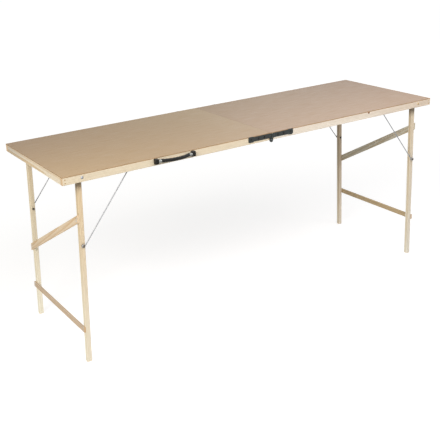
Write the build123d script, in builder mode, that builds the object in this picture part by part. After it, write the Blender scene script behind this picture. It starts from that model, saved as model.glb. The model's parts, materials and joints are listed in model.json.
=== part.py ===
from build123d import *
import math
import os

# Folding pasting table, open, standing on its feet. Millimetres, +Z up, +X along the table.
# The front, with the carrying handle, faces -Y. The origin is on the floor, at the middle
# of the space that the whole table takes.

# Whole table
table_length = 1780.0
table_width = 550.0
table_height = 750.0

# Leaves
panel_thickness = 3.0
rail_depth = 27.0
side_rail_thickness = 15.0
end_rail_thickness = 20.0
leaf_gap = 0.6
edge_ease = 1.0

# Panel pins and frame nails
pin_radius = 0.8
pin_length = 20.0
pin_head_radius = 1.5
pin_head_height = 0.6
pin_end_inset = 5.0
pins_along_leaf = 8
pins_across_leaf = 3
pin_cross_pitch = 130.0
nail_radius = 1.3
nail_length = 45.0
nail_head_radius = 2.6
nail_head_height = 1.0
nail_rise = 6.0

# Fits
fit_gap = 0.05
side_gap = 0.3
overrun = 5.0

# Centre hinges
hinge_drop = 11.5
hinge_reach = 109.0
plate_thickness = 2.0
plate_lap_gap = 0.2
strap_height = 18.0
pad_height = 23.0
pad_length = 25.0
pad_corner = 5.0
ear_radius = 7.5
knuckle_below_rail = 0.5
plate_end_gap = 0.5
joggle_start = 16.0
joggle_length = 5.0
rivet_radius = 3.0
rivet_head_radius = 5.0
rivet_head_height = 1.6
hinge_screw_near = 33.0
hinge_screw_middle = 62.0
hinge_screw_far = 96.5

# Carrying handle
handle_drop = 13.0
handle_span = 171.0
block_width = 13.0
block_height = 19.0
block_depth = 16.0
block_round = 3.5
handle_axis_out = 9.5
ferrule_length = 13.5
ferrule_radius = 6.4
ferrule_ease = 0.8
handle_pin_radius = 2.5
handle_pin_length = 10.0
grip_bow = 15.0
grip_middle_thickness = 10.0
grip_height = 12.8
grip_round = 4.2
spigot_radius = 5.2
spigot_length = 12.0
handle_screw_rise = 5.0

# Leg frames
leg_thickness = 18.0
leg_width = 18.0
leg_side_gap = 13.0
pivot_inset = 74.0
pivot_below_panel = 11.0
leg_splay = 2.0
leg_ease = 1.2
crosspiece_thickness = 7.0
lower_rail_height = 22.0
brace_height = 27.0
brace_rise = 262.0
left_lower_rail_z = 137.0
right_lower_rail_z = 184.0
left_brace_below_top = 309.0
right_brace_below_top = 261.0

# Leg pivot bolts
bolt_radius = 3.0
bolt_head_radius = 5.5
bolt_head_height = 2.8
bolt_tail = 2.0
spacer_radius = 7.0
washer_radius = 6.5
washer_thickness = 1.5
nut_across_flats = 10.0
nut_height = 5.2

# Wood screws
screw_radius = 1.9
screw_head_radius = 3.8
screw_head_angle = 90.0
recess_width_share = 0.3
recess_reach_share = 0.62
hinge_screw_length = 14.0
leg_screw_length = 21.0
leg_screw_head_radius = 3.0
leg_screw_rise = 5.5
handle_screw_length = 28.0

# Wire stays
stay_wire_radius = 2.0
stay_bend_radius = 4.9
stay_pivot_along_leg = 263.0
stay_hook_inset = 194.0
stay_hook_below_pivot = 4.0
stay_from_rail = 7.3
stay_eye_angle = 325.0
stay_eye_start_angle = 35.0
stay_hook_angle = 118.0
right_angle = 90.0
stay_tip_length = 3.0
stay_bolt_radius = 2.5
stay_bolt_tail = 1.0
stay_head_radius = 5.2
stay_head_height = 2.8
stay_nut_across_flats = 8.0
stay_nut_height = 4.0
stud_radius = 2.5
stud_head_radius = 4.5
stud_head_height = 2.2
stud_depth = 12.0
stay_washer_radius = 6.0

# Places that follow from these sizes
rail_top = table_height - panel_thickness
rail_bottom = rail_top - rail_depth
rail_middle = (rail_top + rail_bottom) / 2
half_length = table_length / 2
leaf_start = leaf_gap / 2
leaf_length = half_length - leaf_start
leaf_middle = leaf_start + leaf_length / 2
hinge_stack = 2 * plate_thickness + plate_lap_gap
front_reach = table_width / 2 + handle_axis_out + grip_bow + grip_middle_thickness / 2
back_reach = table_width / 2 + hinge_stack + rivet_head_height
centre_y = (front_reach - back_reach) / 2
front_face = centre_y - table_width / 2
side_inner = table_width / 2 - side_rail_thickness
joint_rail_x = leaf_start + end_rail_thickness / 2
end_rail_x = half_length - end_rail_thickness / 2
knuckle_z = rail_bottom - knuckle_below_rail
hinge_z = table_height - hinge_drop
handle_z = table_height - handle_drop
handle_x = -leaf_middle
leg_outer = side_inner - leg_side_gap
leg_centre = leg_outer - leg_width / 2
leg_inner = leg_outer - leg_width
pivot_x = half_length - pivot_inset
pivot_z = rail_top - pivot_below_panel
splay_sine = math.sin(math.radians(leg_splay))
splay_cosine = math.cos(math.radians(leg_splay))
stay_line_y = side_inner - stay_from_rail
stay_bolt_x = pivot_x + stay_pivot_along_leg * splay_sine
stay_bolt_z = pivot_z - stay_pivot_along_leg * splay_cosine
stud_x = pivot_x - stay_hook_inset
stud_z = pivot_z - stay_hook_below_pivot

sides = {"left": -1, "right": 1}
rows = {"front": -1, "back": 1}
lower_rail_heights = {"left": left_lower_rail_z, "right": right_lower_rail_z}
brace_heights = {"left": table_height - left_brace_below_top, "right": table_height - right_brace_below_top}

os.makedirs("parts", exist_ok=True)


def finish(piece, label):
    # Labels the finished piece and writes it to its own file.
    piece.part.label = label
    export_step(piece.part, f"parts/{label}.step")


def row_y(row, distance):
    # A place across the table, measured from its centre line towards the front or the back.
    return centre_y + row * distance


def along_leg(height):
    # The distance down a leg from its pivot to a height above the floor.
    return (pivot_z - height) / splay_cosine


def outboard_plane(side, distance, out, y):
    # Local x runs across the table, local y down the leg and z out of its outboard face.
    normal = (side * splay_cosine, 0, splay_sine)
    origin_x = side * (pivot_x + distance * splay_sine + out * splay_cosine)
    origin_z = pivot_z - distance * splay_cosine + out * splay_sine
    return Plane(origin=(origin_x, y, origin_z), x_dir=(0, -side, 0), z_dir=normal)


def wood_screw(length, head_radius):
    # Countersunk screw, its flat head at the origin and its shank down -Z.
    head_height = head_radius - screw_radius
    recess_reach = head_radius * recess_reach_share
    recess_width = head_radius * recess_width_share
    with BuildPart() as screw:
        with BuildSketch(Plane.XZ):
            with BuildLine():
                Polyline(
                    (0, 0),
                    (head_radius, 0),
                    (screw_radius, -head_height),
                    (screw_radius, -length + screw_radius),
                    (0, -length),
                    close=True,
                )
            make_face()
        revolve(axis=Axis.Z)
        with BuildSketch(Plane.XY):
            Rectangle(2 * recess_reach, recess_width)
            Rectangle(recess_width, 2 * recess_reach)
        extrude(amount=-head_height / 2, mode=Mode.SUBTRACT)
    return screw.part


def headed_pin(length, radius, head_radius, head_height):
    # Plain pin or nail, the top of its flat head at the origin and its shank down -Z.
    with BuildPart() as pin:
        with BuildSketch(Plane.XY):
            Circle(head_radius)
        extrude(amount=-head_height)
        with BuildSketch(Plane.XY.offset(-head_height)):
            Circle(radius)
        extrude(amount=head_height - length)
    return pin.part


def domed_head(radius, height, shank_radius, shank_length):
    # Round-head fastener: the dome stands up from the origin, the shank runs down -Z.
    with BuildPart() as fastener:
        with BuildSketch(Plane.XZ):
            with BuildLine():
                Line((0, height), (0, -shank_length))
                Line((0, -shank_length), (shank_radius, -shank_length))
                Line((shank_radius, -shank_length), (shank_radius, 0))
                Line((shank_radius, 0), (radius, 0))
                RadiusArc((radius, 0), (0, height), -(radius**2 + height**2) / (2 * height))
            make_face()
        revolve(axis=Axis.Z)
    return fastener.part


def face_planes(row, distance, outward, places):
    # Planes on a face across the table, each at (x, z), with z_dir towards or off the centre line.
    return [
        Plane(origin=(x, row_y(row, distance), z), z_dir=(0, row * outward, 0))
        for x, z in places
    ]


def nail_places(side):
    # Two nails, one above the other, at each end of a side rail.
    return [
        (side * x, rail_middle + rise)
        for x in (joint_rail_x, end_rail_x)
        for rise in (-nail_rise, nail_rise)
    ]


def hinge_screw_places(side):
    return [(side * step, hinge_z) for step in (hinge_screw_near, hinge_screw_middle, hinge_screw_far)]


def handle_screw_places():
    block_x = (handle_span - block_width) / 2
    return [
        (handle_x + way * block_x, handle_z + rise)
        for way in (-1, 1)
        for rise in (-handle_screw_rise, handle_screw_rise)
    ]


def side_pin_places(side, row):
    # Panel pins over one side rail.
    first = leaf_start + end_rail_thickness / 2 + pin_end_inset
    last = half_length - end_rail_thickness / 2 - pin_end_inset
    pitch = (last - first) / (pins_along_leaf - 1)
    y = row_y(row, table_width / 2 - side_rail_thickness / 2)
    return [(side * (first + step * pitch), y) for step in range(pins_along_leaf)]


def cross_pin_places(side, rail_x):
    # Panel pins over an end rail or a joint rail.
    middle = (pins_across_leaf - 1) / 2
    return [
        (side * rail_x, centre_y + (step - middle) * pin_cross_pitch)
        for step in range(pins_across_leaf)
    ]


def leaf_pin_places(side):
    places = []
    for row in rows.values():
        places += side_pin_places(side, row)
    for rail_x in (joint_rail_x, end_rail_x):
        places += cross_pin_places(side, rail_x)
    return places


def drill_pin_holes(places):
    # Holes down from the top of the rails for the shanks of the panel pins.
    with Locations(*[(x, y, rail_top) for x, y in places]):
        Hole(pin_radius + fit_gap, pin_length - panel_thickness + side_gap)


# Leaves

for side_name, side in sides.items():
    with BuildPart() as worktop:
        with Locations((side * leaf_middle, centre_y, rail_top)):
            Box(leaf_length, table_width, panel_thickness, align=(Align.CENTER, Align.CENTER, Align.MIN))
        with Locations(*[(x, y, table_height) for x, y in leaf_pin_places(side)]):
            CounterBoreHole(
                pin_radius + fit_gap,
                pin_head_radius + fit_gap,
                pin_head_height,
                panel_thickness,
            )
    finish(worktop, f"{side_name}_worktop")

    for row_name, row in rows.items():
        with BuildPart() as side_rail:
            rail_y = row_y(row, table_width / 2 - side_rail_thickness / 2)
            with Locations((side * leaf_middle, rail_y, rail_middle)):
                Box(leaf_length, side_rail_thickness, rail_depth)
            chamfer(side_rail.edges().filter_by(Axis.X).group_by(Axis.Z)[0], edge_ease)
            with Locations(*face_planes(row, table_width / 2, 1, [(side * pivot_x, pivot_z)])):
                Hole(bolt_radius + fit_gap, side_rail_thickness)
            with Locations(*face_planes(row, table_width / 2, 1, nail_places(side))):
                CounterBoreHole(
                    nail_radius + fit_gap,
                    nail_head_radius + fit_gap,
                    nail_head_height,
                    side_rail_thickness,
                )
            with Locations(*face_planes(row, table_width / 2, 1, hinge_screw_places(side))):
                Hole(screw_radius + fit_gap, hinge_screw_length - plate_thickness + side_gap)
            with Locations(*face_planes(row, side_inner, -1, [(side * stud_x, stud_z)])):
                Hole(stud_radius + fit_gap, stud_depth + side_gap)
            drill_pin_holes(side_pin_places(side, row))
            if side_name == "left" and row_name == "front":
                with Locations(*face_planes(row, table_width / 2, 1, handle_screw_places())):
                    Hole(screw_radius + fit_gap, handle_screw_length - block_depth + side_gap)
        finish(side_rail, f"{side_name}_{row_name}_rail")

    for rail_name, rail_x in (("joint", joint_rail_x), ("end", end_rail_x)):
        with BuildPart() as cross_rail:
            with Locations((side * rail_x, centre_y, rail_middle)):
                Box(end_rail_thickness, 2 * side_inner, rail_depth)
            for row in rows.values():
                ends = [(side * rail_x, rail_middle + rise) for rise in (-nail_rise, nail_rise)]
                with Locations(*face_planes(row, side_inner, 1, ends)):
                    Hole(nail_radius + fit_gap, nail_length - side_rail_thickness + side_gap)
            drill_pin_holes(cross_pin_places(side, rail_x))
        finish(cross_rail, f"{side_name}_{rail_name}_rail")

    panel_pin = headed_pin(pin_length, pin_radius, pin_head_radius, pin_head_height)
    with BuildPart() as panel_pins:
        with Locations(*[(x, y, table_height) for x, y in leaf_pin_places(side)]):
            add(panel_pin)
    finish(panel_pins, f"{side_name}_panel_pins")

    frame_nail = headed_pin(nail_length, nail_radius, nail_head_radius, nail_head_height)
    with BuildPart() as frame_nails:
        for row in rows.values():
            with Locations(*face_planes(row, table_width / 2, 1, nail_places(side))):
                add(frame_nail)
    finish(frame_nails, f"{side_name}_frame_nails")

# Centre hinges. The left plate lies flat and its ear is behind the ear of the right plate,
# which steps out over it. Both ears turn on a rivet just below the rails.


def hinge_outline(side):
    # Strap, flared end pad, and the ear that drops to the knuckle.
    strap_length = hinge_reach - plate_end_gap
    with Locations((side * (plate_end_gap + strap_length / 2), hinge_z)):
        Rectangle(strap_length, strap_height)
    with Locations((side * (hinge_reach - pad_length / 2), hinge_z)):
        RectangleRounded(pad_length, pad_height, pad_corner)
    neck_height = hinge_z - knuckle_z
    with Locations((side * (ear_radius + plate_end_gap) / 2, knuckle_z + neck_height / 2)):
        Rectangle(ear_radius - plate_end_gap, neck_height)
    with Locations((0, knuckle_z)):
        Circle(ear_radius)


for row_name, row in rows.items():
    face = row_y(row, table_width / 2)
    lap = row * (plate_thickness + plate_lap_gap)
    outer_face = face + row * hinge_stack
    middle_face = face + row * plate_thickness

    with BuildPart() as left_plate:
        with BuildSketch(Plane.XZ.offset(-face)):
            hinge_outline(sides["left"])
        extrude(amount=-row * plate_thickness)
        with BuildSketch(Plane.XZ.offset(-face)):
            with Locations((0, knuckle_z)):
                Circle(ear_radius + side_gap)
        extrude(amount=-row * side_gap, mode=Mode.SUBTRACT)
        with Locations(*face_planes(row, table_width / 2 + plate_thickness, 1, [(0, knuckle_z)])):
            Hole(rivet_radius + fit_gap, plate_thickness)
        with Locations(
            *face_planes(row, table_width / 2 + plate_thickness, 1, hinge_screw_places(-1))
        ):
            CounterSinkHole(
                screw_radius + fit_gap,
                screw_head_radius + fit_gap,
                plate_thickness,
                counter_sink_angle=screw_head_angle,
            )
    finish(left_plate, f"{row_name}_hinge_left_plate")

    with BuildPart() as right_plate:
        with BuildSketch(Plane.XY.offset(knuckle_z - ear_radius - overrun)):
            with BuildLine():
                Polyline(
                    (-ear_radius, face + lap),
                    (joggle_start - joggle_length, face + lap),
                    (joggle_start, face),
                    (hinge_reach, face),
                    (hinge_reach, middle_face),
                    (joggle_start, middle_face),
                    (joggle_start - joggle_length, outer_face),
                    (-ear_radius, outer_face),
                    close=True,
                )
            make_face()
        extrude(amount=table_height)
        with BuildSketch(Plane.XZ.offset(-face + row * overrun)):
            hinge_outline(sides["right"])
        extrude(amount=-row * (hinge_stack + 2 * overrun), mode=Mode.INTERSECT)
        with Locations(*face_planes(row, table_width / 2 + hinge_stack, 1, [(0, knuckle_z)])):
            Hole(rivet_radius + fit_gap, plate_thickness)
        with Locations(
            *face_planes(row, table_width / 2 + plate_thickness, 1, hinge_screw_places(1))
        ):
            CounterSinkHole(
                screw_radius + fit_gap,
                screw_head_radius + fit_gap,
                plate_thickness,
                counter_sink_angle=screw_head_angle,
            )
    finish(right_plate, f"{row_name}_hinge_right_plate")

    rivet = domed_head(rivet_head_radius, rivet_head_height, rivet_radius, hinge_stack - side_gap)
    with BuildPart() as hinge_rivet:
        with Locations(*face_planes(row, table_width / 2 + hinge_stack, 1, [(0, knuckle_z)])):
            add(rivet)
    finish(hinge_rivet, f"{row_name}_hinge_rivet")

hinge_screw = wood_screw(hinge_screw_length, screw_head_radius)
for side_name, side in sides.items():
    with BuildPart() as hinge_screws:
        for row in rows.values():
            heads = face_planes(row, table_width / 2 + plate_thickness, 1, hinge_screw_places(side))
            with Locations(*heads):
                add(hinge_screw)
    finish(hinge_screws, f"{side_name}_hinge_screws")

# Carrying handle, on the front rail of the left leaf

handle_axis_y = front_face - handle_axis_out
block_face = front_face - block_depth
grip_half = handle_span / 2 - block_width - ferrule_length

with BuildPart() as grip:
    with BuildSketch(Plane.XY.offset(handle_z)):
        with BuildLine():
            ThreePointArc(
                (handle_x - grip_half, handle_axis_y - ferrule_radius),
                (handle_x, handle_axis_y - grip_bow - grip_middle_thickness / 2),
                (handle_x + grip_half, handle_axis_y - ferrule_radius),
            )
            ThreePointArc(
                (handle_x - grip_half, handle_axis_y + ferrule_radius),
                (handle_x, handle_axis_y - grip_bow + grip_middle_thickness / 2),
                (handle_x + grip_half, handle_axis_y + ferrule_radius),
            )
            for way in (-1, 1):
                Line(
                    (handle_x + way * grip_half, handle_axis_y - ferrule_radius),
                    (handle_x + way * grip_half, handle_axis_y + ferrule_radius),
                )
        make_face()
    extrude(amount=grip_height / 2, both=True)
    fillet(grip.edges().filter_by(GeomType.CIRCLE), grip_round)
    for way in (-1, 1):
        end = Plane(origin=(handle_x + way * grip_half, handle_axis_y, handle_z), z_dir=(way, 0, 0))
        with BuildSketch(end):
            Circle(spigot_radius)
        extrude(amount=spigot_length)
finish(grip, "handle_grip")

for side_name, way in sides.items():
    ferrule_start = handle_x + way * grip_half
    grip_end = Plane(origin=(ferrule_start, handle_axis_y, handle_z), z_dir=(way, 0, 0))
    with BuildPart() as ferrule:
        with BuildSketch(grip_end):
            Circle(ferrule_radius)
        extrude(amount=ferrule_length - side_gap)
        chamfer(ferrule.edges().filter_by(GeomType.CIRCLE), ferrule_ease)
        with BuildSketch(grip_end.offset(ferrule_length - side_gap)):
            Circle(handle_pin_radius)
        extrude(amount=handle_pin_length)
        with BuildSketch(grip_end):
            Circle(spigot_radius + fit_gap)
        extrude(amount=spigot_length + side_gap, mode=Mode.SUBTRACT)
    finish(ferrule, f"handle_{side_name}_ferrule")

    block_x = handle_x + way * (handle_span - block_width) / 2
    with BuildPart() as block:
        with BuildSketch(Plane.YZ.offset(block_x)):
            with Locations(((front_face + block_face) / 2, handle_z)):
                Rectangle(block_depth, block_height)
        extrude(amount=block_width / 2, both=True)
        fillet(block.edges().filter_by(Axis.X).group_by(Axis.Y)[0], block_round)
        inner_side = Plane(
            origin=(ferrule_start + way * ferrule_length, handle_axis_y, handle_z),
            z_dir=(-way, 0, 0),
        )
        with Locations(inner_side):
            Hole(handle_pin_radius + fit_gap, handle_pin_length + side_gap)
        screw_planes = [
            Plane(origin=(block_x, block_face, handle_z + rise), z_dir=(0, -1, 0))
            for rise in (-handle_screw_rise, handle_screw_rise)
        ]
        with Locations(*screw_planes):
            CounterSinkHole(
                screw_radius + fit_gap,
                screw_head_radius + fit_gap,
                block_depth,
                counter_sink_angle=screw_head_angle,
            )
    finish(block, f"handle_{side_name}_block")

handle_screw = wood_screw(handle_screw_length, screw_head_radius)
with BuildPart() as handle_screws:
    heads = face_planes(rows["front"], table_width / 2 + block_depth, 1, handle_screw_places())
    with Locations(*heads):
        add(handle_screw)
finish(handle_screws, "handle_screws")

# Leg frames


def crosspiece_middles(side_name, row):
    # Distances down a leg to the middle of the lower rail and of the brace.
    brace_z = brace_heights[side_name] - row * brace_rise / 2
    return along_leg(lower_rail_heights[side_name]), along_leg(brace_z)


def leg_screw_planes(side_name, side, row, out):
    # Two screws, one above the other, where each crosspiece meets a leg.
    planes = []
    for middle in crosspiece_middles(side_name, row):
        for rise in (-leg_screw_rise, leg_screw_rise):
            head_out = leg_thickness / 2 + out
            planes.append(outboard_plane(side, middle + rise, head_out, row_y(row, leg_centre)))
    return planes


for side_name, side in sides.items():
    half_leg = leg_thickness / 2
    foot_out = pivot_z * splay_sine / splay_cosine
    foot_half = half_leg / splay_cosine
    round_x = half_leg * splay_cosine
    round_z = half_leg * splay_sine
    for row_name, row in rows.items():
        leg_back_y = row_y(row, leg_centre) + leg_width / 2
        with BuildPart() as leg:
            with BuildSketch(Plane.XZ.offset(-leg_back_y)):
                with BuildLine():
                    foot_inner = (side * (pivot_x + foot_out - foot_half), 0)
                    foot_outer = (side * (pivot_x + foot_out + foot_half), 0)
                    top_inner = (side * (pivot_x - round_x), pivot_z - round_z)
                    top_outer = (side * (pivot_x + round_x), pivot_z + round_z)
                    crown = (side * (pivot_x - half_leg * splay_sine), pivot_z + half_leg * splay_cosine)
                    Polyline(top_inner, foot_inner, foot_outer, top_outer)
                    ThreePointArc(top_outer, crown, top_inner)
                make_face()
            extrude(amount=leg_width)
            chamfer(leg.edges().filter_by(lambda edge: edge.length > pivot_z / 2), leg_ease)
            with Locations(*face_planes(row, leg_outer, 1, [(side * pivot_x, pivot_z)])):
                Hole(bolt_radius + fit_gap, leg_width)
            with Locations(*face_planes(row, leg_outer, 1, [(side * stay_bolt_x, stay_bolt_z)])):
                Hole(stay_bolt_radius + fit_gap, leg_width)
            with Locations(*leg_screw_planes(side_name, side, row, 0)):
                Hole(screw_radius + fit_gap, leg_screw_length - crosspiece_thickness + side_gap)
        finish(leg, f"{side_name}_{row_name}_leg")

    lower_middle = crosspiece_middles(side_name, rows["front"])[0]
    with BuildPart() as lower_rail:
        with BuildSketch(outboard_plane(side, lower_middle, half_leg, centre_y)):
            Rectangle(2 * leg_outer, lower_rail_height)
        extrude(amount=crosspiece_thickness)
        chamfer(lower_rail.edges().filter_by(Axis.Y), edge_ease)
        for row in rows.values():
            with Locations(*leg_screw_planes(side_name, side, row, crosspiece_thickness)[:2]):
                CounterSinkHole(
                    screw_radius + fit_gap,
                    leg_screw_head_radius + fit_gap,
                    crosspiece_thickness,
                    counter_sink_angle=screw_head_angle,
                )
    finish(lower_rail, f"{side_name}_lower_rail")

    front_middle = crosspiece_middles(side_name, rows["front"])[1]
    back_middle = crosspiece_middles(side_name, rows["back"])[1]
    brace_slope = (back_middle - front_middle) / (2 * leg_centre)
    end_rise = brace_slope * (leg_outer - leg_centre)
    half_cut = brace_height / 2 * math.hypot(1, brace_slope)
    front_end = front_middle - end_rise
    back_end = back_middle + end_rise
    front_x = side * leg_outer
    with BuildPart() as brace:
        with BuildSketch(outboard_plane(side, 0, half_leg, centre_y)):
            with BuildLine():
                Polyline(
                    (front_x, front_end - half_cut),
                    (front_x, front_end + half_cut),
                    (-front_x, back_end + half_cut),
                    (-front_x, back_end - half_cut),
                    close=True,
                )
            make_face()
        extrude(amount=crosspiece_thickness)
        chamfer(brace.edges().filter_by(lambda edge: edge.length > leg_outer), edge_ease)
        for row in rows.values():
            with Locations(*leg_screw_planes(side_name, side, row, crosspiece_thickness)[2:]):
                CounterSinkHole(
                    screw_radius + fit_gap,
                    leg_screw_head_radius + fit_gap,
                    crosspiece_thickness,
                    counter_sink_angle=screw_head_angle,
                )
    finish(brace, f"{side_name}_brace")

    leg_screw = wood_screw(leg_screw_length, leg_screw_head_radius)
    with BuildPart() as leg_screws:
        for row in rows.values():
            with Locations(*leg_screw_planes(side_name, side, row, crosspiece_thickness)):
                add(leg_screw)
    finish(leg_screws, f"{side_name}_leg_screws")

    bolt_length = side_rail_thickness + leg_side_gap + leg_width + side_gap + washer_thickness
    bolt_length += nut_height + bolt_tail
    pivot_bolt = domed_head(bolt_head_radius, bolt_head_height, bolt_radius, bolt_length)
    with BuildPart() as pivot_bolts:
        for row in rows.values():
            with Locations(*face_planes(row, table_width / 2, 1, [(side * pivot_x, pivot_z)])):
                add(pivot_bolt)
    finish(pivot_bolts, f"{side_name}_pivot_bolts")

    with BuildPart() as pivot_spacers:
        for row in rows.values():
            for plane in face_planes(row, side_inner, -1, [(side * pivot_x, pivot_z)]):
                with BuildSketch(plane):
                    Circle(spacer_radius)
                    Circle(bolt_radius + fit_gap, mode=Mode.SUBTRACT)
                extrude(amount=leg_side_gap - side_gap)
    finish(pivot_spacers, f"{side_name}_pivot_spacers")

    with BuildPart() as pivot_nuts:
        for row in rows.values():
            for plane in face_planes(row, leg_inner - side_gap, -1, [(side * pivot_x, pivot_z)]):
                with BuildSketch(plane):
                    Circle(washer_radius)
                    Circle(bolt_radius + fit_gap, mode=Mode.SUBTRACT)
                extrude(amount=washer_thickness)
                with BuildSketch(plane.offset(washer_thickness)):
                    RegularPolygon(nut_across_flats / 2, 6, major_radius=False)
                    Circle(bolt_radius + fit_gap, mode=Mode.SUBTRACT)
                extrude(amount=nut_height)
    finish(pivot_nuts, f"{side_name}_pivot_nuts")

# Wire stays. Each is one length of wire, bent to an eye round the bolt in the leg and to
# an open hook over the stud on the rail.

stay_rise = math.degrees(math.atan2(stud_z - stay_bolt_z, stay_bolt_x - stud_x))
wire_out = stay_from_rail + stay_wire_radius + side_gap
washer_height = leg_side_gap - wire_out
stay_head_out = washer_height + 2 * stay_wire_radius + 2 * side_gap

for side_name, side in sides.items():
    for row_name, row in rows.items():
        wire_y = row_y(row, stay_line_y)
        with BuildPart() as stay:
            with BuildLine(Plane.XZ.offset(-wire_y)) as route:
                leave = stay_rise - right_angle
                leave_x = stay_bend_radius * math.cos(math.radians(leave))
                leave_z = stay_bend_radius * math.sin(math.radians(leave))
                eye_start = leave + stay_eye_start_angle
                CenterArc((-stay_bolt_x, stay_bolt_z), stay_bend_radius, eye_start, stay_eye_angle)
                Line(
                    (-stay_bolt_x + leave_x, stay_bolt_z + leave_z),
                    (-stud_x + leave_x, stud_z + leave_z),
                )
                hook = CenterArc((-stud_x, stud_z), stay_bend_radius, leave, stay_hook_angle)
                Line(hook @ 1, hook @ 1 + stay_tip_length * (hook % 1))
            with BuildSketch(Plane(origin=route.line @ 0, z_dir=route.line % 0)):
                Circle(stay_wire_radius)
            sweep()
            if side_name == "right":
                mirror(about=Plane.YZ, mode=Mode.REPLACE)
        finish(stay, f"{side_name}_{row_name}_stay")

    stud = domed_head(
        stud_head_radius,
        stud_head_height,
        stud_radius,
        stay_from_rail + stay_wire_radius + side_gap + stud_depth,
    )
    with BuildPart() as stay_studs:
        for row in rows.values():
            with Locations(*face_planes(row, side_inner - wire_out, -1, [(side * stud_x, stud_z)])):
                add(stud)
    finish(stay_studs, f"{side_name}_stay_studs")

    stay_bolt_length = stay_head_out + leg_width + side_gap + stay_nut_height + stay_bolt_tail
    stay_bolt = domed_head(stay_head_radius, stay_head_height, stay_bolt_radius, stay_bolt_length)
    stay_bolt_place = [(side * stay_bolt_x, stay_bolt_z)]
    with BuildPart() as stay_bolts:
        for row in rows.values():
            with Locations(*face_planes(row, leg_outer + stay_head_out, 1, stay_bolt_place)):
                add(stay_bolt)
    finish(stay_bolts, f"{side_name}_stay_bolts")

    with BuildPart() as stay_washers:
        for row in rows.values():
            for plane in face_planes(row, leg_outer, 1, stay_bolt_place):
                with BuildSketch(plane):
                    Circle(stay_washer_radius)
                    Circle(stay_bolt_radius + fit_gap, mode=Mode.SUBTRACT)
                extrude(amount=washer_height)
    finish(stay_washers, f"{side_name}_stay_washers")

    with BuildPart() as stay_nuts:
        for row in rows.values():
            for plane in face_planes(row, leg_inner - side_gap, -1, stay_bolt_place):
                with BuildSketch(plane):
                    RegularPolygon(stay_nut_across_flats / 2, 6, major_radius=False)
                    Circle(stay_bolt_radius + fit_gap, mode=Mode.SUBTRACT)
                extrude(amount=stay_nut_height)
    finish(stay_nuts, f"{side_name}_stay_nuts")
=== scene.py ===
import json
import math
import random

import bpy
from mathutils import Matrix, Vector


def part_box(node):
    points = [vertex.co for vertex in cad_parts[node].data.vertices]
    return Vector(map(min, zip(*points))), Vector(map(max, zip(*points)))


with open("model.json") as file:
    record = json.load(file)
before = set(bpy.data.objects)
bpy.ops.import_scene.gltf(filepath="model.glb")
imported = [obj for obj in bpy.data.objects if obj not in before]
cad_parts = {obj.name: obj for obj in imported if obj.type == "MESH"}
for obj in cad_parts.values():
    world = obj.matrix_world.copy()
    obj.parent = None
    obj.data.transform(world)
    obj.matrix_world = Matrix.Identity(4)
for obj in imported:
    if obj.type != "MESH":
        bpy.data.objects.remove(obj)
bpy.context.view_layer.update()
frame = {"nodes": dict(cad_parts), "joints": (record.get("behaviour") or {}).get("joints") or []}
pieces = frame["nodes"]
mm = 0.001
waveScale = 2 * math.pi / 20     # a wave texture of this scale has one wave to a metre
noiseLow, noiseHigh = 0.3, 0.7   # a noise texture hardly leaves this range
print("frame loaded,", len(pieces), "pieces")


# helpers for the materials

def linearColour(hexText):
    # sRGB hex text to the linear colour that a shader wants
    channels = [int(hexText[place:place + 2], 16) / 255 for place in (1, 3, 5)]
    return tuple(c / 12.92 if c <= 0.04045 else ((c + 0.055) / 1.055) ** 2.4 for c in channels) + (1.0,)


def addNode(tree, kind, settings=None, inputs=None):
    # an input is a value, or the output socket that feeds it
    node = tree.nodes.new(kind)
    for name, value in (settings or {}).items():
        setattr(node, name, value)
    for name, value in (inputs or {}).items():
        if isinstance(value, bpy.types.NodeSocket):
            tree.links.new(value, node.inputs[name])
        else:
            node.inputs[name].default_value = value
    return node


# a Mix node's colour sockets have numbers, because its names repeat
mixFactor, mixFirst, mixSecond, mixResult = 0, 6, 7, 2


def emptyTree(owner):
    # the node tree of a material or a world, with nothing in it yet
    owner.use_nodes = True
    owner.node_tree.nodes.clear()
    return owner.node_tree


def newMaterial(name, shaderInputs):
    # a material with one Principled shader on its output
    material = bpy.data.materials.new(name)
    tree = emptyTree(material)
    shader = addNode(tree, "ShaderNodeBsdfPrincipled", None, shaderInputs)
    addNode(tree, "ShaderNodeOutputMaterial", None, {"Surface": shader.outputs["BSDF"]})
    return material, tree, shader


def dress(names, material):
    for name in names:
        for slot in pieces[name].material_slots:
            slot.link = "OBJECT"
            slot.material = material


# pine, planed by machine: pale summer wood and darker autumn lines that run with the piece

pine = {
    "earlyWood": "#E2D7BF",
    "lateWood": "#C8AB7B",
    "heartTint": "#D5BB9A",
    "knotWood": "#8A5A34",
    "knotRim": "#5E3B22",
    "endWood": "#C9A577",
    "pithAside": (35, 80),    # mm from the middle of the stick to the middle of the tree
    "pithAcross": (-40, 40),
    "pithAlong": (0, 3),      # m
    "ringSpacing": 4.2,       # mm between the autumn lines
    "ringWander": 2.6,
    "autumnFrom": 0.35,       # where in a ring the autumn wood begins
    "autumnStrength": 0.75,
    "heartFrom": 0.4,         # the patches above this turn to the colour of heartwood
    "heartFull": 0.75,
    "heartStrength": 0.5,
    "grainStretch": 0.035,    # how much slower the pattern changes along the grain
    "fibreWidth": 1.6,        # mm; a real fibre is far finer, this is as coarse as it needs to show
    "fibreStretch": 0.012,
    "streakDark": 0.86,
    "streakLight": 1.06,
    "patchSize": 90.0,        # mm
    "knotRimShare": 0.6,      # of the knot's size, from which the rim is full
    "knotHeartShares": (0.7, 0.4),
    "endDepth": 2.5,          # mm of darker wood where a cut end has taken up dirt
    "endStrength": 0.7,
    "roughness": 0.58,
    "reliefHeight": 0.12,     # mm
}


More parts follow.
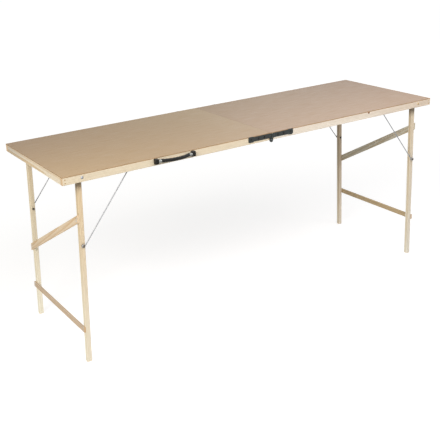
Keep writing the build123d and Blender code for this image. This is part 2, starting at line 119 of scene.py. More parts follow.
# how much lighter or darker each stick is than its plain material, as red, green and blue: partly each
# stick's own tone, partly painted light and shade, darkest on the right back leg and the right brace in the
# table's shade
stickTonesAndShade = {
    "left_front_rail": (0.92, 0.96, 0.99),
    "right_front_rail": (0.98, 1.03, 1.16),
    "left_end_rail": (0.98, 0.96, 0.96),
    "left_front_leg": (0.96, 0.97, 0.96),
    "left_back_leg": (1.08, 1.12, 1.16),
    "right_front_leg": (0.94, 0.98, 1.06),
    "right_back_leg": (0.88, 0.88, 0.89),
    "left_lower_rail": (0.77, 0.68, 0.63),
    "right_lower_rail": (0.68, 0.62, 0.5),
    "left_brace": (0.95, 0.88, 0.82),
    "right_brace": (0.78, 0.84, 0.88),
}
plainTone = (1.0, 1.0, 1.0)

# sticks whose tone changes along their length: where the change begins and ends, in m, and the tone there;
# on the two legs it is painted shade, darker at the top under the table top
stickFades = {
    "right_back_leg": {"axis": "Z", "from": 0.6, "to": 0.05,
                       "first": (0.87, 0.85, 0.84), "last": (1.16, 1.16, 1.2)},
    "left_front_leg": {"axis": "Z", "from": 0.6, "to": 0.2,
                       "first": (0.97, 0.94, 0.9), "last": (1.0, 1.02, 1.06)},
    "left_end_rail": {"axis": "Y", "from": 0.05, "to": 0.22,
                      "first": (1.02, 1.04, 1.06), "last": (0.8, 0.84, 0.92)},
    "right_front_rail": {"axis": "X", "from": 0.5, "to": 0.85,
                         "first": (1.0, 1.02, 1.05), "last": (0.91, 0.87, 0.84)},
}

# painted light and shade: the upper ends of all the legs are darker, and the feet are paler
legLightAndShade = {"axis": "Z", "from": 0.6, "to": 0.02, "first": (0.95, 0.92, 0.87), "last": (1.16, 1.25, 1.36)}

# painted shadow of the side rail on the top of each leg, with the heights where it is full and where it ends
legRailShadow = {"colour": "#5B4630", "strength": 0.6, "full": 0.706, "ends": 0.672}


def fadedAlong(tree, place, colour, change):
    # the colour, multiplied by a tone that changes steadily along one axis of the table
    spot = addNode(tree, "ShaderNodeSeparateXYZ", None, {"Vector": place.outputs["Object"]})
    onward = addNode(tree, "ShaderNodeMapRange", None, {
        "Value": spot.outputs[change["axis"]], "From Min": change["from"], "From Max": change["to"],
    })
    tone = addNode(tree, "ShaderNodeMix", {"data_type": "RGBA"}, {
        mixFactor: onward.outputs["Result"],
        mixFirst: change["first"] + (1.0,), mixSecond: change["last"] + (1.0,),
    })
    toned = addNode(tree, "ShaderNodeVectorMath", {"operation": "MULTIPLY"}, {
        0: colour, 1: tone.outputs[mixResult],
    })
    return toned.outputs["Vector"]


# darkens the top of a leg with the rail's painted shadow
def railShadowedTop(tree, place, colour):
    height = addNode(tree, "ShaderNodeSeparateXYZ", None, {"Vector": place.outputs["Object"]})
    shadowAmount = addNode(tree, "ShaderNodeMapRange", {"interpolation_type": "SMOOTHSTEP"}, {
        "Value": height.outputs["Z"],
        "From Min": legRailShadow["ends"], "From Max": legRailShadow["full"], "To Max": legRailShadow["strength"],
    })
    railShaded = addNode(tree, "ShaderNodeMix", {"data_type": "RGBA"}, {
        mixFactor: shadowAmount.outputs["Result"], mixFirst: colour, mixSecond: linearColour(legRailShadow["colour"]),
    })
    return railShaded.outputs[mixResult]


def withKnot(tree, place, colour, knotPlace, knotSize):
    # a dark rim round a warmer heart
    heartOutside, heartInside = pine["knotHeartShares"]
    away = addNode(tree, "ShaderNodeVectorMath", {"operation": "DISTANCE"}, {
        0: place.outputs["Object"], 1: knotPlace,
    })
    rim = addNode(tree, "ShaderNodeMapRange", {"interpolation_type": "SMOOTHSTEP"}, {
        "Value": away.outputs["Value"],
        "From Min": knotSize * mm, "From Max": knotSize * pine["knotRimShare"] * mm,
    })
    heart = addNode(tree, "ShaderNodeMapRange", {"interpolation_type": "SMOOTHSTEP"}, {
        "Value": away.outputs["Value"],
        "From Min": knotSize * heartOutside * mm, "From Max": knotSize * heartInside * mm,
    })
    rimmed = addNode(tree, "ShaderNodeMix", {"data_type": "RGBA"}, {
        mixFactor: rim.outputs["Result"], mixFirst: colour, mixSecond: linearColour(pine["knotRim"]),
    })
    hearted = addNode(tree, "ShaderNodeMix", {"data_type": "RGBA"}, {
        mixFactor: heart.outputs["Result"],
        mixFirst: rimmed.outputs[mixResult],
        mixSecond: linearColour(pine["knotWood"]),
    })
    return hearted.outputs[mixResult]


def planedPine(name, grain, knots=()):
    # each piece comes from its own stick, so its pith lies somewhere else
    draw = random.Random(name)
    low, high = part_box(name)
    middle = (low + high) / 2
    turn = grain.normalized().rotation_difference(Vector((0, 0, 1))).to_matrix()
    aside, across, onward = pine["pithAside"], pine["pithAcross"], pine["pithAlong"]
    pith = Vector((draw.uniform(*aside) * mm, draw.uniform(*across) * mm, draw.uniform(*onward)))
    material, tree, shader = newMaterial("planed_pine_" + name, {"Roughness": pine["roughness"]})
    place = addNode(tree, "ShaderNodeTexCoord")
    along = addNode(tree, "ShaderNodeMapping", {"vector_type": "POINT"}, {
        "Vector": place.outputs["Object"],
        "Rotation": turn.to_euler(),
        "Location": pith - turn @ middle,
    })
    stretched = addNode(tree, "ShaderNodeVectorMath", {"operation": "MULTIPLY"}, {
        0: along.outputs["Vector"], 1: (1, 1, pine["grainStretch"]),
    })
    rings = addNode(tree, "ShaderNodeTexWave",
                    {"wave_type": "RINGS", "rings_direction": "Z", "wave_profile": "SAW"}, {
        "Vector": stretched.outputs["Vector"],
        "Scale": waveScale / (pine["ringSpacing"] * mm),
        "Distortion": pine["ringWander"],
        "Detail": 2.0,
        "Detail Scale": 0.5,
    })
    autumn = addNode(tree, "ShaderNodeMapRange", {"interpolation_type": "SMOOTHSTEP"}, {
        "Value": rings.outputs["Fac"],
        "From Min": pine["autumnFrom"], "From Max": 1.0, "To Max": pine["autumnStrength"],
    })
    drawnOut = addNode(tree, "ShaderNodeVectorMath", {"operation": "MULTIPLY"}, {
        0: along.outputs["Vector"], 1: (1, 1, pine["fibreStretch"]),
    })
    fibres = addNode(tree, "ShaderNodeTexNoise", None, {
        "Vector": drawnOut.outputs["Vector"],
        "Scale": 1 / (pine["fibreWidth"] * mm), "Detail": 3.0, "Roughness": 0.6,
    })
    patches = addNode(tree, "ShaderNodeTexNoise", None, {
        "Vector": stretched.outputs["Vector"], "Scale": 1 / (pine["patchSize"] * mm), "Detail": 2.0,
    })
    wood = addNode(tree, "ShaderNodeMix", {"data_type": "RGBA"}, {
        mixFactor: autumn.outputs["Result"],
        mixFirst: linearColour(pine["earlyWood"]),
        mixSecond: linearColour(pine["lateWood"]),
    })
    warm = addNode(tree, "ShaderNodeMapRange", None, {
        "Value": patches.outputs["Fac"],
        "From Min": pine["heartFrom"], "From Max": pine["heartFull"], "To Max": pine["heartStrength"],
    })
    toned = addNode(tree, "ShaderNodeMix", {"data_type": "RGBA"}, {
        mixFactor: warm.outputs["Result"],
        mixFirst: wood.outputs[mixResult],
        mixSecond: linearColour(pine["heartTint"]),
    })
    streak = addNode(tree, "ShaderNodeMapRange", None, {
        "Value": fibres.outputs["Fac"], "From Min": noiseLow, "From Max": noiseHigh,
        "To Min": pine["streakDark"], "To Max": pine["streakLight"],
    })
    streaked = addNode(tree, "ShaderNodeMix", {"data_type": "RGBA", "blend_type": "MULTIPLY"}, {
        mixFactor: 1.0, mixFirst: toned.outputs[mixResult], mixSecond: streak.outputs["Result"],
    })
    # each stick's own tone together with its painted light and shade
    toneAndShade = addNode(tree, "ShaderNodeVectorMath", {"operation": "MULTIPLY"}, {
        0: streaked.outputs[mixResult], 1: stickTonesAndShade.get(name, plainTone),
    })
    colour = toneAndShade.outputs["Vector"]
    # a tone along the stick: on the legs it is painted shade
    if name in stickFades:
        colour = fadedAlong(tree, place, colour, stickFades[name])
    # painted light and shade along each leg, then the painted shadow of the rail at its top
    if name.endswith("_leg"):
        colour = railShadowedTop(tree, place, fadedAlong(tree, place, colour, legLightAndShade))
    for knotPlace, knotSize in knots:
        colour = withKnot(tree, place, colour, knotPlace, knotSize)

    # cut ends drink in dirt and damp, and go a shade darker
    split = addNode(tree, "ShaderNodeSeparateXYZ", None, {"Vector": along.outputs["Vector"]})
    fromMiddle = addNode(tree, "ShaderNodeMath", {"operation": "SUBTRACT"}, {
        0: split.outputs["Z"], 1: pith.z,
    })
    reach = addNode(tree, "ShaderNodeMath", {"operation": "ABSOLUTE"}, {0: fromMiddle.outputs["Value"]})
    corners = [Vector((x, y, z)) for x in (low.x, high.x) for y in (low.y, high.y) for z in (low.z, high.z)]
    halfLength = max(abs((turn @ (corner - middle)).z) for corner in corners)
    endShade = addNode(tree, "ShaderNodeMapRange", None, {
        "Value": reach.outputs["Value"],
        "From Min": halfLength - pine["endDepth"] * mm, "From Max": halfLength,
        "To Max": pine["endStrength"],
    })
    ended = addNode(tree, "ShaderNodeMix", {"data_type": "RGBA"}, {
        mixFactor: endShade.outputs["Result"], mixFirst: colour, mixSecond: linearColour(pine["endWood"]),
    })
    tree.links.new(ended.outputs[mixResult], shader.inputs["Base Color"])

    relief = addNode(tree, "ShaderNodeMath", {"operation": "ADD"}, {
        0: rings.outputs["Fac"], 1: fibres.outputs["Fac"],
    })
    bump = addNode(tree, "ShaderNodeBump", None, {
        "Height": relief.outputs["Value"], "Distance": pine["reliefHeight"] * mm, "Strength": 0.5,
    })
    tree.links.new(bump.outputs["Normal"], shader.inputs["Normal"])
    dress([name], material)


joints = {joint["name"]: joint for joint in frame["joints"]}
braceRiseShare = 0.9     # of its box; the rest is the brace's own height
frontKnot = {"alongRail": 0.52, "belowTop": 2.0, "size": 7.0}     # m along the right rail, then mm
alongTable = Vector((1, 0, 0))
acrossTable = Vector((0, 1, 0))


def legLine(side):
    # from the pivot bolt to the middle of the foot
    pivot = Vector(joints[side + "_leg_fold"]["pos_m"])
    low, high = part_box(side + "_front_leg")
    outward = -1 if side == "left" else 1
    outer = low.x if side == "left" else high.x
    halfFoot = (high.y - low.y) / 2     # the leg is square
    foot = Vector((outer - outward * halfFoot, pivot.y, 0))
    return pivot - foot


def braceLine(side):
    # rises from the back leg to the front leg
    low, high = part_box(side + "_brace")
    return Vector((0, low.y - high.y, (high.z - low.z) * braceRiseShare))


railLow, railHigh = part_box("right_front_rail")
knotSpot = Vector((railLow.x + frontKnot["alongRail"], railLow.y, railHigh.z - frontKnot["belowTop"] * mm))
railKnots = {"right_front_rail": [(knotSpot, frontKnot["size"])]}
for side in ("left", "right"):
    for name in ("front_rail", "back_rail"):
        planedPine(side + "_" + name, alongTable, railKnots.get(side + "_" + name, ()))
    for name in ("end_rail", "joint_rail", "lower_rail"):
        planedPine(side + "_" + name, acrossTable)
    for name in ("front_leg", "back_leg"):
        planedPine(side + "_" + name, legLine(side))
    planedPine(side + "_brace", braceLine(side))
print("pine done")


# hardboard, wet-pressed brown fibre: smooth and faintly shiny above, the mark of the wire screen below

hardboard = {
    "face": "#9C7E5D",
    "faceDark": "#8B6D4D",
    "faceLight": "#AB8E6D",
    "fleck": "#715438",
    "edge": "#9A7C58",
    "back": "#846648",
    "fibreSize": 2.4,        # mm
    "mottleSize": 160.0,     # mm
    "fleckSpacing": 11.0,    # mm
    "fleckRadii": (0.12, 0.05),     # of the spacing: where a fleck begins and where it is full
    "fleckStrength": 0.45,
    "evenedFrom": 0.45,      # how far the mottling hides the fibres, at least and at most
    "evenedTo": 0.85,
    "scuffWidth": 5.0,       # mm
    "scuffStretch": 0.06,
    "scuffSmoother": 0.06,   # how far the scuffs change the roughness either way
    "scuffRougher": 0.1,
    "screenPitch": 3.0,      # mm; the real screen has about 1.5, drawn coarser so that it shows
    "screenRelief": 0.4,     # mm
    "fibreRelief": 0.04,     # mm
    "edgeBand": 0.5,         # mm; the sawn edge is told from the face over this depth
    "edgeFromShare": 0.2,    # of the band, from where the edge's colour begins
    "backShares": (0.4, 0.1),       # of the band: where the back begins and where it is full
    "leftTone": (1.09, 1.12, 1.03),     # the two panels come from different sheets
    "rightTone": (0.95, 0.94, 0.95),
    # the tone at each corner of a panel, blended evenly between them: painted light and shade, the outer
    # front corner lit lighter, the outer back one darker, and near the joint they differ less
    "leftPaintedLight": {"leftFront": (1.22, 1.29, 1.32), "leftBack": (0.82, 0.81, 0.81),
                "rightFront": (0.93, 0.96, 1.01), "rightBack": (0.98, 1.07, 1.1)},
    "rightPaintedLight": {"leftFront": (1.09, 1.13, 1.2), "leftBack": (0.92, 0.97, 0.89),
                 "rightFront": (1.2, 1.28, 1.5), "rightBack": (0.87, 0.83, 0.79)},
    "roughness": 0.42,
    "ior": 1.5,
    "shiftRange": (0, 5),    # m; each panel is cut from another place in the pattern
}


def pressedHardboard(name, side):
    low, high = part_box(name)
    draw = random.Random(name)
    material, tree, shader = newMaterial("pressed_hardboard_" + side, {"IOR": hardboard["ior"]})
    place = addNode(tree, "ShaderNodeTexCoord")
    shift = (draw.uniform(*hardboard["shiftRange"]), draw.uniform(*hardboard["shiftRange"]), 0)
    shifted = addNode(tree, "ShaderNodeVectorMath", {"operation": "ADD"}, {
        0: place.outputs["Object"], 1: shift,
    })
    fibres = addNode(tree, "ShaderNodeTexNoise", None, {
        "Vector": shifted.outputs["Vector"],
        "Scale": 1 / (hardboard["fibreSize"] * mm), "Detail": 4.0, "Roughness": 0.65, "Distortion": 0.8,
    })
    mottle = addNode(tree, "ShaderNodeTexNoise", None, {
        "Vector": shifted.outputs["Vector"],
        "Scale": 1 / (hardboard["mottleSize"] * mm), "Detail": 5.0, "Roughness": 0.55,
    })
    flecks = addNode(tree, "ShaderNodeTexVoronoi", None, {
        "Vector": shifted.outputs["Vector"], "Scale": 1 / (hardboard["fleckSpacing"] * mm),
    })
    fleckStart, fleckFull = hardboard["fleckRadii"]
    fleck = addNode(tree, "ShaderNodeMapRange", None, {
        "Value": flecks.outputs["Distance"],
        "From Min": fleckStart, "From Max": fleckFull, "To Max": hardboard["fleckStrength"],
    })
    fine = addNode(tree, "ShaderNodeMapRange", None, {
        "Value": fibres.outputs["Fac"], "From Min": noiseLow, "From Max": noiseHigh,
    })
    ground = addNode(tree, "ShaderNodeMix", {"data_type": "RGBA"}, {
        mixFactor: fine.outputs["Result"],
        mixFirst: linearColour(hardboard["faceDark"]), mixSecond: linearColour(hardboard["faceLight"]),
    })
    broad = addNode(tree, "ShaderNodeMapRange", None, {
        "Value": mottle.outputs["Fac"], "From Min": noiseLow, "From Max": noiseHigh,
        "To Min": hardboard["evenedFrom"], "To Max": hardboard["evenedTo"],
    })
    evened = addNode(tree, "ShaderNodeMix", {"data_type": "RGBA"}, {
        mixFactor: broad.outputs["Result"],
        mixFirst: ground.outputs[mixResult], mixSecond: linearColour(hardboard["face"]),
    })
    split = addNode(tree, "ShaderNodeSeparateXYZ", None, {"Vector": place.outputs["Object"]})
    # painted light and shade across the panel, blended from the tone at its four corners
    towardsBack = addNode(tree, "ShaderNodeMapRange", None, {
        "Value": split.outputs["Y"], "From Min": low.y, "From Max": high.y,
    })
    towardsRight = addNode(tree, "ShaderNodeMapRange", None, {
        "Value": split.outputs["X"], "From Min": low.x, "From Max": high.x,
    })
    litCorners = hardboard[side + "PaintedLight"]
    ends = [
        addNode(tree, "ShaderNodeMix", {"data_type": "RGBA"}, {
            mixFactor: towardsBack.outputs["Result"],
            mixFirst: litCorners[end + "Front"] + (1.0,), mixSecond: litCorners[end + "Back"] + (1.0,),
        })
        for end in ("left", "right")
    ]
    litTone = addNode(tree, "ShaderNodeMix", {"data_type": "RGBA"}, {
        mixFactor: towardsRight.outputs["Result"],
        mixFirst: ends[0].outputs[mixResult], mixSecond: ends[1].outputs[mixResult],
    })
    toneAndShade = addNode(tree, "ShaderNodeVectorMath", {"operation": "MULTIPLY"}, {
        0: evened.outputs[mixResult], 1: hardboard[side + "Tone"],
    })
    wornAndLit = addNode(tree, "ShaderNodeVectorMath", {"operation": "MULTIPLY"}, {
        0: toneAndShade.outputs["Vector"], 1: litTone.outputs[mixResult],
    })
    flecked = addNode(tree, "ShaderNodeMix", {"data_type": "RGBA"}, {
        mixFactor: fleck.outputs["Result"],
        mixFirst: wornAndLit.outputs["Vector"], mixSecond: linearColour(hardboard["fleck"]),
    })

    # the sawn edge and the rough back, told apart by how deep they lie
    band = hardboard["edgeBand"] * mm
    backStart, backFull = hardboard["backShares"]
    below = addNode(tree, "ShaderNodeMapRange", None, {
        "Value": split.outputs["Z"],
        "From Min": high.z - band * hardboard["edgeFromShare"], "From Max": high.z - band,
    })
    edged = addNode(tree, "ShaderNodeMix", {"data_type": "RGBA"}, {
        mixFactor: below.outputs["Result"],
        mixFirst: flecked.outputs[mixResult], mixSecond: linearColour(hardboard["edge"]),
    })
    beneath = addNode(tree, "ShaderNodeMapRange", None, {
        "Value": split.outputs["Z"],
        "From Min": low.z + band * backStart, "From Max": low.z + band * backFull,
    })
    backed = addNode(tree, "ShaderNodeMix", {"data_type": "RGBA"}, {
        mixFactor: beneath.outputs["Result"],
        mixFirst: edged.outputs[mixResult], mixSecond: linearColour(hardboard["back"]),
    })
    tree.links.new(backed.outputs[mixResult], shader.inputs["Base Color"])

    # handling and dried paste leave long faint scuffs that change the shine
    drawn = addNode(tree, "ShaderNodeVectorMath", {"operation": "MULTIPLY"}, {
        0: shifted.outputs["Vector"], 1: (hardboard["scuffStretch"], 1, 1),
    })
    scuffs = addNode(tree, "ShaderNodeTexNoise", None, {
        "Vector": drawn.outputs["Vector"], "Scale": 1 / (hardboard["scuffWidth"] * mm), "Detail": 3.0,
    })
    shine = addNode(tree, "ShaderNodeMapRange", None, {
        "Value": scuffs.outputs["Fac"], "From Min": noiseLow, "From Max": noiseHigh,
        "To Min": hardboard["roughness"] - hardboard["scuffSmoother"],
        "To Max": hardboard["roughness"] + hardboard["scuffRougher"],
    })
    dull = addNode(tree, "ShaderNodeMath", {"operation": "MAXIMUM"}, {
        0: shine.outputs["Result"], 1: below.outputs["Result"],
    })
    tree.links.new(dull.outputs["Value"], shader.inputs["Roughness"])

    waves = [
        addNode(tree, "ShaderNodeTexWave", {"bands_direction": way}, {
            "Vector": place.outputs["Object"],
            "Scale": waveScale / (hardboard["screenPitch"] * mm),
        })
        for way in ("X", "Y")
    ]
    screen = addNode(tree, "ShaderNodeMath", {"operation": "MULTIPLY"}, {
        0: waves[0].outputs["Fac"], 1: waves[1].outputs["Fac"],
    })
    pressed = addNode(tree, "ShaderNodeMath", {"operation": "MULTIPLY"}, {
        0: screen.outputs["Value"], 1: beneath.outputs["Result"],
    })
    screenBump = addNode(tree, "ShaderNodeBump", None, {
        "Height": pressed.outputs["Value"], "Distance": hardboard["screenRelief"] * mm,
    })
    faceBump = addNode(tree, "ShaderNodeBump", None, {
        "Height": fibres.outputs["Fac"], "Distance": hardboard["fibreRelief"] * mm, "Strength": 0.6,
        "Normal": screenBump.outputs["Normal"],
    })
    tree.links.new(faceBump.outputs["Normal"], shader.inputs["Normal"])
    dress([name], material)


for side in ("left", "right"):
    pressedHardboard(side + "_worktop", side)
print("hardboard done")


# metal and plastic

wear = {
    "cornerFrom": 0.99,      # how well the two normals agree where the rubbing starts and where it is full
    "cornerFull": 0.86,
    "chipSize": 3.0,         # mm
    "chipFrom": 0.62,
    "chipFull": 0.7,
}


def wornEdges(tree, radius, coverage):
    # where a corner has been rubbed: the rounded normal leaves the true one there
    rounded = addNode(tree, "ShaderNodeBevel", {"samples": 6}, {"Radius": radius * mm})
    shape = addNode(tree, "ShaderNodeNewGeometry")
    agree = addNode(tree, "ShaderNodeVectorMath", {"operation": "DOT_PRODUCT"}, {
        0: rounded.outputs["Normal"], 1: shape.outputs["Normal"],
    })
    corner = addNode(tree, "ShaderNodeMapRange", None, {
        "Value": agree.outputs["Value"], "From Min": wear["cornerFrom"], "From Max": wear["cornerFull"],
    })
    place = addNode(tree, "ShaderNodeTexCoord")
    chips = addNode(tree, "ShaderNodeTexNoise", None, {
        "Vector": place.outputs["Object"],
        "Scale": 1 / (wear["chipSize"] * mm), "Detail": 4.0, "Roughness": 0.7,
    })
    patchy = addNode(tree, "ShaderNodeMapRange", None, {
        "Value": chips.outputs["Fac"],
        "From Min": wear["chipFrom"] - coverage, "From Max": wear["chipFull"] - coverage,
    })
    worn = addNode(tree, "ShaderNodeMath", {"operation": "MULTIPLY"}, {
        0: corner.outputs["Result"], 1: patchy.outputs["Result"],
    })
    return worn.outputs["Value"], chips.outputs["Fac"]


hinge = {
    "paint": "#1C2121",
    "paintLight": "#2C3231",
    "bareSteel": "#9A9B98",
    "paintRoughness": 0.34,
    "steelRoughness": 0.38,
    "roughnessSpread": 0.06,
    "ior": 1.5,
    "gloss": 0.35,            # dust takes part of the shine
    "orangePeel": 1.2,        # mm between the lumps of the stoved paint
    "peelRelief": 0.05,       # mm
    "cloudSize": 18.0,        # mm
    "wornRadius": 0.7,        # mm
    "wornCoverage": 0.1,
}


def stovedHingeSteel():
    # pressed steel, stoved slate grey: a soft shine with a little orange peel, worn bright at the corners
    material, tree, shader = newMaterial("stoved_hinge_steel",
                                         {"IOR": hinge["ior"], "Specular IOR Level": hinge["gloss"]})
    worn, chips = wornEdges(tree, hinge["wornRadius"], hinge["wornCoverage"])
    place = addNode(tree, "ShaderNodeTexCoord")
    peel = addNode(tree, "ShaderNodeTexNoise", None, {
        "Vector": place.outputs["Object"], "Scale": 1 / (hinge["orangePeel"] * mm), "Detail": 1.0,
    })
    clouds = addNode(tree, "ShaderNodeTexNoise", None, {
        "Vector": place.outputs["Object"], "Scale": 1 / (hinge["cloudSize"] * mm), "Detail": 3.0,
    })
    paint = addNode(tree, "ShaderNodeMix", {"data_type": "RGBA"}, {
        mixFactor: clouds.outputs["Fac"],
        mixFirst: linearColour(hinge["paint"]), mixSecond: linearColour(hinge["paintLight"]),
    })
    coat = addNode(tree, "ShaderNodeMix", {"data_type": "RGBA"}, {
        mixFactor: worn, mixFirst: paint.outputs[mixResult], mixSecond: linearColour(hinge["bareSteel"]),
    })
    shine = addNode(tree, "ShaderNodeMapRange", None, {
        "Value": chips,
        "To Min": hinge["paintRoughness"] - hinge["roughnessSpread"],
        "To Max": hinge["steelRoughness"] + hinge["roughnessSpread"],
    })
    bump = addNode(tree, "ShaderNodeBump", None, {
        "Height": peel.outputs["Fac"], "Distance": hinge["peelRelief"] * mm, "Strength": 0.5,
    })
    tree.links.new(coat.outputs[mixResult], shader.inputs["Base Color"])
    tree.links.new(worn, shader.inputs["Metallic"])
    tree.links.new(shine.outputs["Result"], shader.inputs["Roughness"])
    tree.links.new(bump.outputs["Normal"], shader.inputs["Normal"])
    return material


coating = {
    "bloomSize": 7.0,         # mm
    "bloomFrom": 0.35,
    "bloomFull": 0.7,
    "smoother": 0.08,         # how far the bloom changes the roughness either way
    "rougher": 0.12,
}


def thinlyCoatedMetal(name, bright, dull, roughness):
    # plating or lacquer, thin enough to keep a metal's shine, with a slightly cloudy bloom
    material, tree, shader = newMaterial(name, {"Metallic": 1.0})
    place = addNode(tree, "ShaderNodeTexCoord")
    bloom = addNode(tree, "ShaderNodeTexNoise", None, {
        "Vector": place.outputs["Object"], "Scale": 1 / (coating["bloomSize"] * mm), "Detail": 5.0,
    })
    cloudy = addNode(tree, "ShaderNodeMapRange", None, {
        "Value": bloom.outputs["Fac"], "From Min": coating["bloomFrom"], "From Max": coating["bloomFull"],
    })
    colour = addNode(tree, "ShaderNodeMix", {"data_type": "RGBA"}, {
        mixFactor: cloudy.outputs["Result"], mixFirst: linearColour(bright), mixSecond: linearColour(dull),
    })
    shine = addNode(tree, "ShaderNodeMapRange", None, {
        "Value": bloom.outputs["Fac"],
        "To Min": roughness - coating["smoother"], "To Max": roughness + coating["rougher"],
    })
    tree.links.new(colour.outputs[mixResult], shader.inputs["Base Color"])
    tree.links.new(shine.outputs["Result"], shader.inputs["Roughness"])
    return material


plastic = {
    "body": "#111110",
    "bodyLight": "#1B1B19",
    "scuff": "#4A4A46",
    "roughness": 0.36,
    "smoother": 0.05,         # how far rubbing changes the roughness either way
    "rougher": 0.15,
    "ior": 1.5,
    "gloss": 0.22,            # dust and the fine texture take most of the shine
    "grainSize": 0.9,         # mm; the spark-eroded mould's texture, drawn coarser than the real one
    "grainRelief": 0.05,      # mm
    "wornRadius": 1.0,        # mm
    "wornCoverage": 0.05,
}


def mouldedPlastic():
    # injection-moulded black plastic: a low even sheen over a fine mould texture, greyed where it is rubbed
    material, tree, shader = newMaterial("moulded_black_plastic",
                                         {"IOR": plastic["ior"], "Specular IOR Level": plastic["gloss"]})
    worn, chips = wornEdges(tree, plastic["wornRadius"], plastic["wornCoverage"])
    place = addNode(tree, "ShaderNodeTexCoord")
    grain = addNode(tree, "ShaderNodeTexNoise", None, {
        "Vector": place.outputs["Object"], "Scale": 1 / (plastic["grainSize"] * mm), "Detail": 2.0,
    })
    body = addNode(tree, "ShaderNodeMix", {"data_type": "RGBA"}, {
        mixFactor: grain.outputs["Fac"],
        mixFirst: linearColour(plastic["body"]), mixSecond: linearColour(plastic["bodyLight"]),
    })
    wornAndLit = addNode(tree, "ShaderNodeMix", {"data_type": "RGBA"}, {
        mixFactor: worn, mixFirst: body.outputs[mixResult], mixSecond: linearColour(plastic["scuff"]),
    })
    shine = addNode(tree, "ShaderNodeMapRange", None, {
        "Value": chips,
        "To Min": plastic["roughness"] - plastic["smoother"],
        "To Max": plastic["roughness"] + plastic["rougher"],
    })
    bump = addNode(tree, "ShaderNodeBump", None, {
        "Height": grain.outputs["Fac"], "Distance": plastic["grainRelief"] * mm, "Strength": 0.4,
    })
    tree.links.new(wornAndLit.outputs[mixResult], shader.inputs["Base Color"])
    tree.links.new(shine.outputs["Result"], shader.inputs["Roughness"])
    tree.links.new(bump.outputs["Normal"], shader.inputs["Normal"])
    return material


# the coating of the small metal pieces: its colour where bright and where dull, and its roughness
coatings = {
    "drawn_zinc_wire": ("#A2A4A6", "#888A8D", 0.5),          # plated wire gone grey, with a soft shine
    "nickel_plated_ferrule": ("#8E908C", "#6E706C", 0.45),   # turned and plated, dulled by the hand
    "zinc_plated_bolt": ("#D3D6D8", "#A7ABAD", 0.3),         # under the table it has kept its brightness
    "brown_grey_zinc_fixing": ("#6E655A", "#574E44", 0.55),      # a dark brown-grey
    "yellowed_zinc_bolt": ("#C2AE8E", "#A08B6B", 0.5),       # passivated zinc, warm beside the wood
    "japanned_screw": ("#24221F", "#3B3833", 0.42),          # black lacquer over steel
    "coppered_frame_nail": ("#C9B08A", "#A98E68", 0.5),      # so thin a copper that it is near the wood
    "coppered_panel_pin": ("#A8855F", "#7E6548", 0.4),       # near the board's own brown
}
metals = {name: thinlyCoatedMetal(name, *values) for name, values in coatings.items()}
hingeSteel = stovedHingeSteel()
blackPlastic = mouldedPlastic()

hingePieces = ("left_plate", "right_plate", "rivet")
dress([row + "_hinge_" + piece for row in ("front", "back") for piece in hingePieces], hingeSteel)
dress(["handle_grip", "handle_left_block", "handle_right_block"], blackPlastic)
dress(["handle_left_ferrule", "handle_right_ferrule"], metals["nickel_plated_ferrule"])
dress(["handle_screws"], metals["japanned_screw"])
dress(["left_pivot_bolts"], metals["drawn_zinc_wire"])
dress(["right_pivot_bolts"], metals["yellowed_zinc_bolt"])

fixings = {
    "drawn_zinc_wire": ("front_stay", "back_stay"),
    "zinc_plated_bolt": ("pivot_spacers", "pivot_nuts", "stay_studs", "leg_screws"),
    "brown_grey_zinc_fixing": ("stay_bolts", "stay_washers"),
    "coppered_frame_nail": ("frame_nails",),
    "japanned_screw": ("hinge_screws", "stay_nuts"),
    "coppered_panel_pin": ("panel_pins",),
}
for side in ("left", "right"):
    for metal, names in fixings.items():
        dress([side + "_" + name for name in names], metals[metal])
print("metal and plastic done")


# floor: plain and pale, it keeps the table's shadow and fades into white

floorSetup = {
    "halfSize": 30.0,         # m
    "ownLightNear": 0.76,     # how much of its white a camera ray sees whatever the shadow
    "ownLightFar": 0.93,
    "near": 1.0,              # metres from the table's middle
    "far": 4.0,
    "paint": "#F4F4F2",
    "paintInView": "#A9A9A8",
}


def lookRay(tree):
    # 1 for a ray from the camera, from a shiny surface or through a clear one, and 0 for the light's own
    ray = addNode(tree, "ShaderNodeLightPath")
    seen = addNode(tree, "ShaderNodeMath", {"operation": "MAXIMUM"}, {
        0: ray.outputs["Is Camera Ray"], 1: ray.outputs["Is Glossy Ray"],
    })
    looking = addNode(tree, "ShaderNodeMath", {"operation": "MAXIMUM"}, {
        0: seen.outputs["Value"], 1: ray.outputs["Is Transmission Ray"],
    })
    return looking.outputs["Value"]


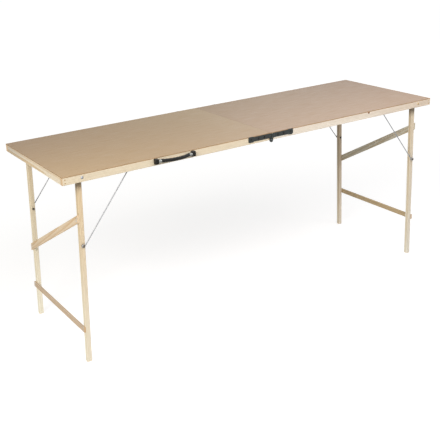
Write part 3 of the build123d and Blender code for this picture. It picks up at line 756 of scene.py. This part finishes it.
def makeFloor():
    half = floorSetup["halfSize"]
    corners = [(-half, -half, 0), (half, -half, 0), (half, half, 0), (-half, half, 0)]
    mesh = bpy.data.meshes.new("floor")
    mesh.from_pydata(corners, [], [(0, 1, 2, 3)])
    floor = bpy.data.objects.new("floor", mesh)
    bpy.context.scene.collection.objects.link(floor)
    material = bpy.data.materials.new("painted_floor")
    tree = emptyTree(material)
    lookedAt = lookRay(tree)
    paint = addNode(tree, "ShaderNodeMix", {"data_type": "RGBA"}, {
        mixFactor: lookedAt,
        mixFirst: linearColour(floorSetup["paint"]), mixSecond: linearColour(floorSetup["paintInView"]),
    })
    matt = addNode(tree, "ShaderNodeBsdfDiffuse", None, {"Color": paint.outputs[mixResult]})
    place = addNode(tree, "ShaderNodeTexCoord")
    away = addNode(tree, "ShaderNodeVectorMath", {"operation": "LENGTH"}, {0: place.outputs["Object"]})
    ownLight = addNode(tree, "ShaderNodeMapRange", None, {
        "Value": away.outputs["Value"], "From Min": floorSetup["near"], "From Max": floorSetup["far"],
        "To Min": floorSetup["ownLightNear"], "To Max": floorSetup["ownLightFar"],
    })
    level = addNode(tree, "ShaderNodeMath", {"operation": "MULTIPLY"}, {
        0: lookedAt, 1: ownLight.outputs["Result"],
    })
    glow = addNode(tree, "ShaderNodeEmission", None, {"Strength": level.outputs["Value"]})
    both = addNode(tree, "ShaderNodeAddShader", None, {0: matt.outputs["BSDF"], 1: glow.outputs["Emission"]})
    shape = addNode(tree, "ShaderNodeNewGeometry")
    clear = addNode(tree, "ShaderNodeBsdfTransparent")
    oneSided = addNode(tree, "ShaderNodeMixShader", None, {
        0: shape.outputs["Backfacing"], 1: both.outputs["Shader"], 2: clear.outputs["BSDF"],
    })
    addNode(tree, "ShaderNodeOutputMaterial", None, {"Surface": oneSided.outputs["Shader"]})
    mesh.materials.append(material)


# light: a white room and soft lamps, at a level that renders a colour about as it is written

# places and sizes in m
lamps = {
    "front": {"place": (0.35, -1.3, 1.85), "long": 3.2, "wide": 0.6, "watts": 33.0, "colour": "#FEFAFF"},
    "left": {"place": (-3.23, -1.7, 2.6), "long": 1.8, "wide": 1.8, "watts": 106.0, "colour": "#FFF9F0"},
    "rear": {"place": (2.6, 2.6, 2.6), "long": 1.6, "wide": 1.6, "watts": 10.0, "colour": "#FFFFFF"},
}
lampAim = (0, 0, 0.5)
room = {"colour": "#FFFFFF", "ambient": 0.22}


def makeLight():
    target = Vector(lampAim)
    for name, lamp in lamps.items():
        data = bpy.data.lights.new(name, "AREA")
        data.shape = "RECTANGLE"
        data.size = lamp["long"]
        data.size_y = lamp["wide"]
        data.energy = lamp["watts"]
        data.color = linearColour(lamp["colour"])[:3]
        light = bpy.data.objects.new(name, data)
        light.location = lamp["place"]
        light.rotation_euler = (target - light.location).to_track_quat("-Z", "Y").to_euler()
        bpy.context.scene.collection.objects.link(light)
    world = bpy.data.worlds.new("white_room")
    bpy.context.scene.world = world
    tree = emptyTree(world)
    lookedAt = lookRay(tree)
    ambient = addNode(tree, "ShaderNodeBackground", None, {
        "Color": linearColour(room["colour"]), "Strength": room["ambient"],
    })
    white = addNode(tree, "ShaderNodeBackground", None, {"Color": (1, 1, 1, 1), "Strength": 1.0})
    either = addNode(tree, "ShaderNodeMixShader", None, {
        0: lookedAt, 1: ambient.outputs["Background"], 2: white.outputs["Background"],
    })
    addNode(tree, "ShaderNodeOutputWorld", None, {"Surface": either.outputs["Shader"]})


# camera: found from the photograph's corners, feet and edges

cameraSetup = {
    "place": (-1.86493, -2.7012, 1.58861),
    "yaw": 30.8144,           # degrees from +Y towards +X
    "pitch": 21.3197,         # degrees down
    "roll": -2.6281,
    "lens": 65.515,           # mm, on a 36 mm sensor
    "sensor": 36.0,
    "shiftX": 0.0795,
}


def makeCamera():
    data = bpy.data.cameras.new("camera")
    data.lens = cameraSetup["lens"]
    data.sensor_width = cameraSetup["sensor"]
    data.shift_x = cameraSetup["shiftX"]
    camera = bpy.data.objects.new("camera", data)
    turn = Matrix.Rotation(-math.radians(cameraSetup["yaw"]), 4, "Z")
    tilt = Matrix.Rotation(math.radians(90 - cameraSetup["pitch"]), 4, "X")
    lean = Matrix.Rotation(math.radians(cameraSetup["roll"]), 4, "Z")
    camera.matrix_world = Matrix.Translation(cameraSetup["place"]) @ turn @ tilt @ lean
    bpy.context.scene.collection.objects.link(camera)
    bpy.context.scene.camera = camera


makeFloor()
makeLight()
makeCamera()
bpy.context.scene.view_settings.view_transform = "Standard"
print("floor, light and camera done")
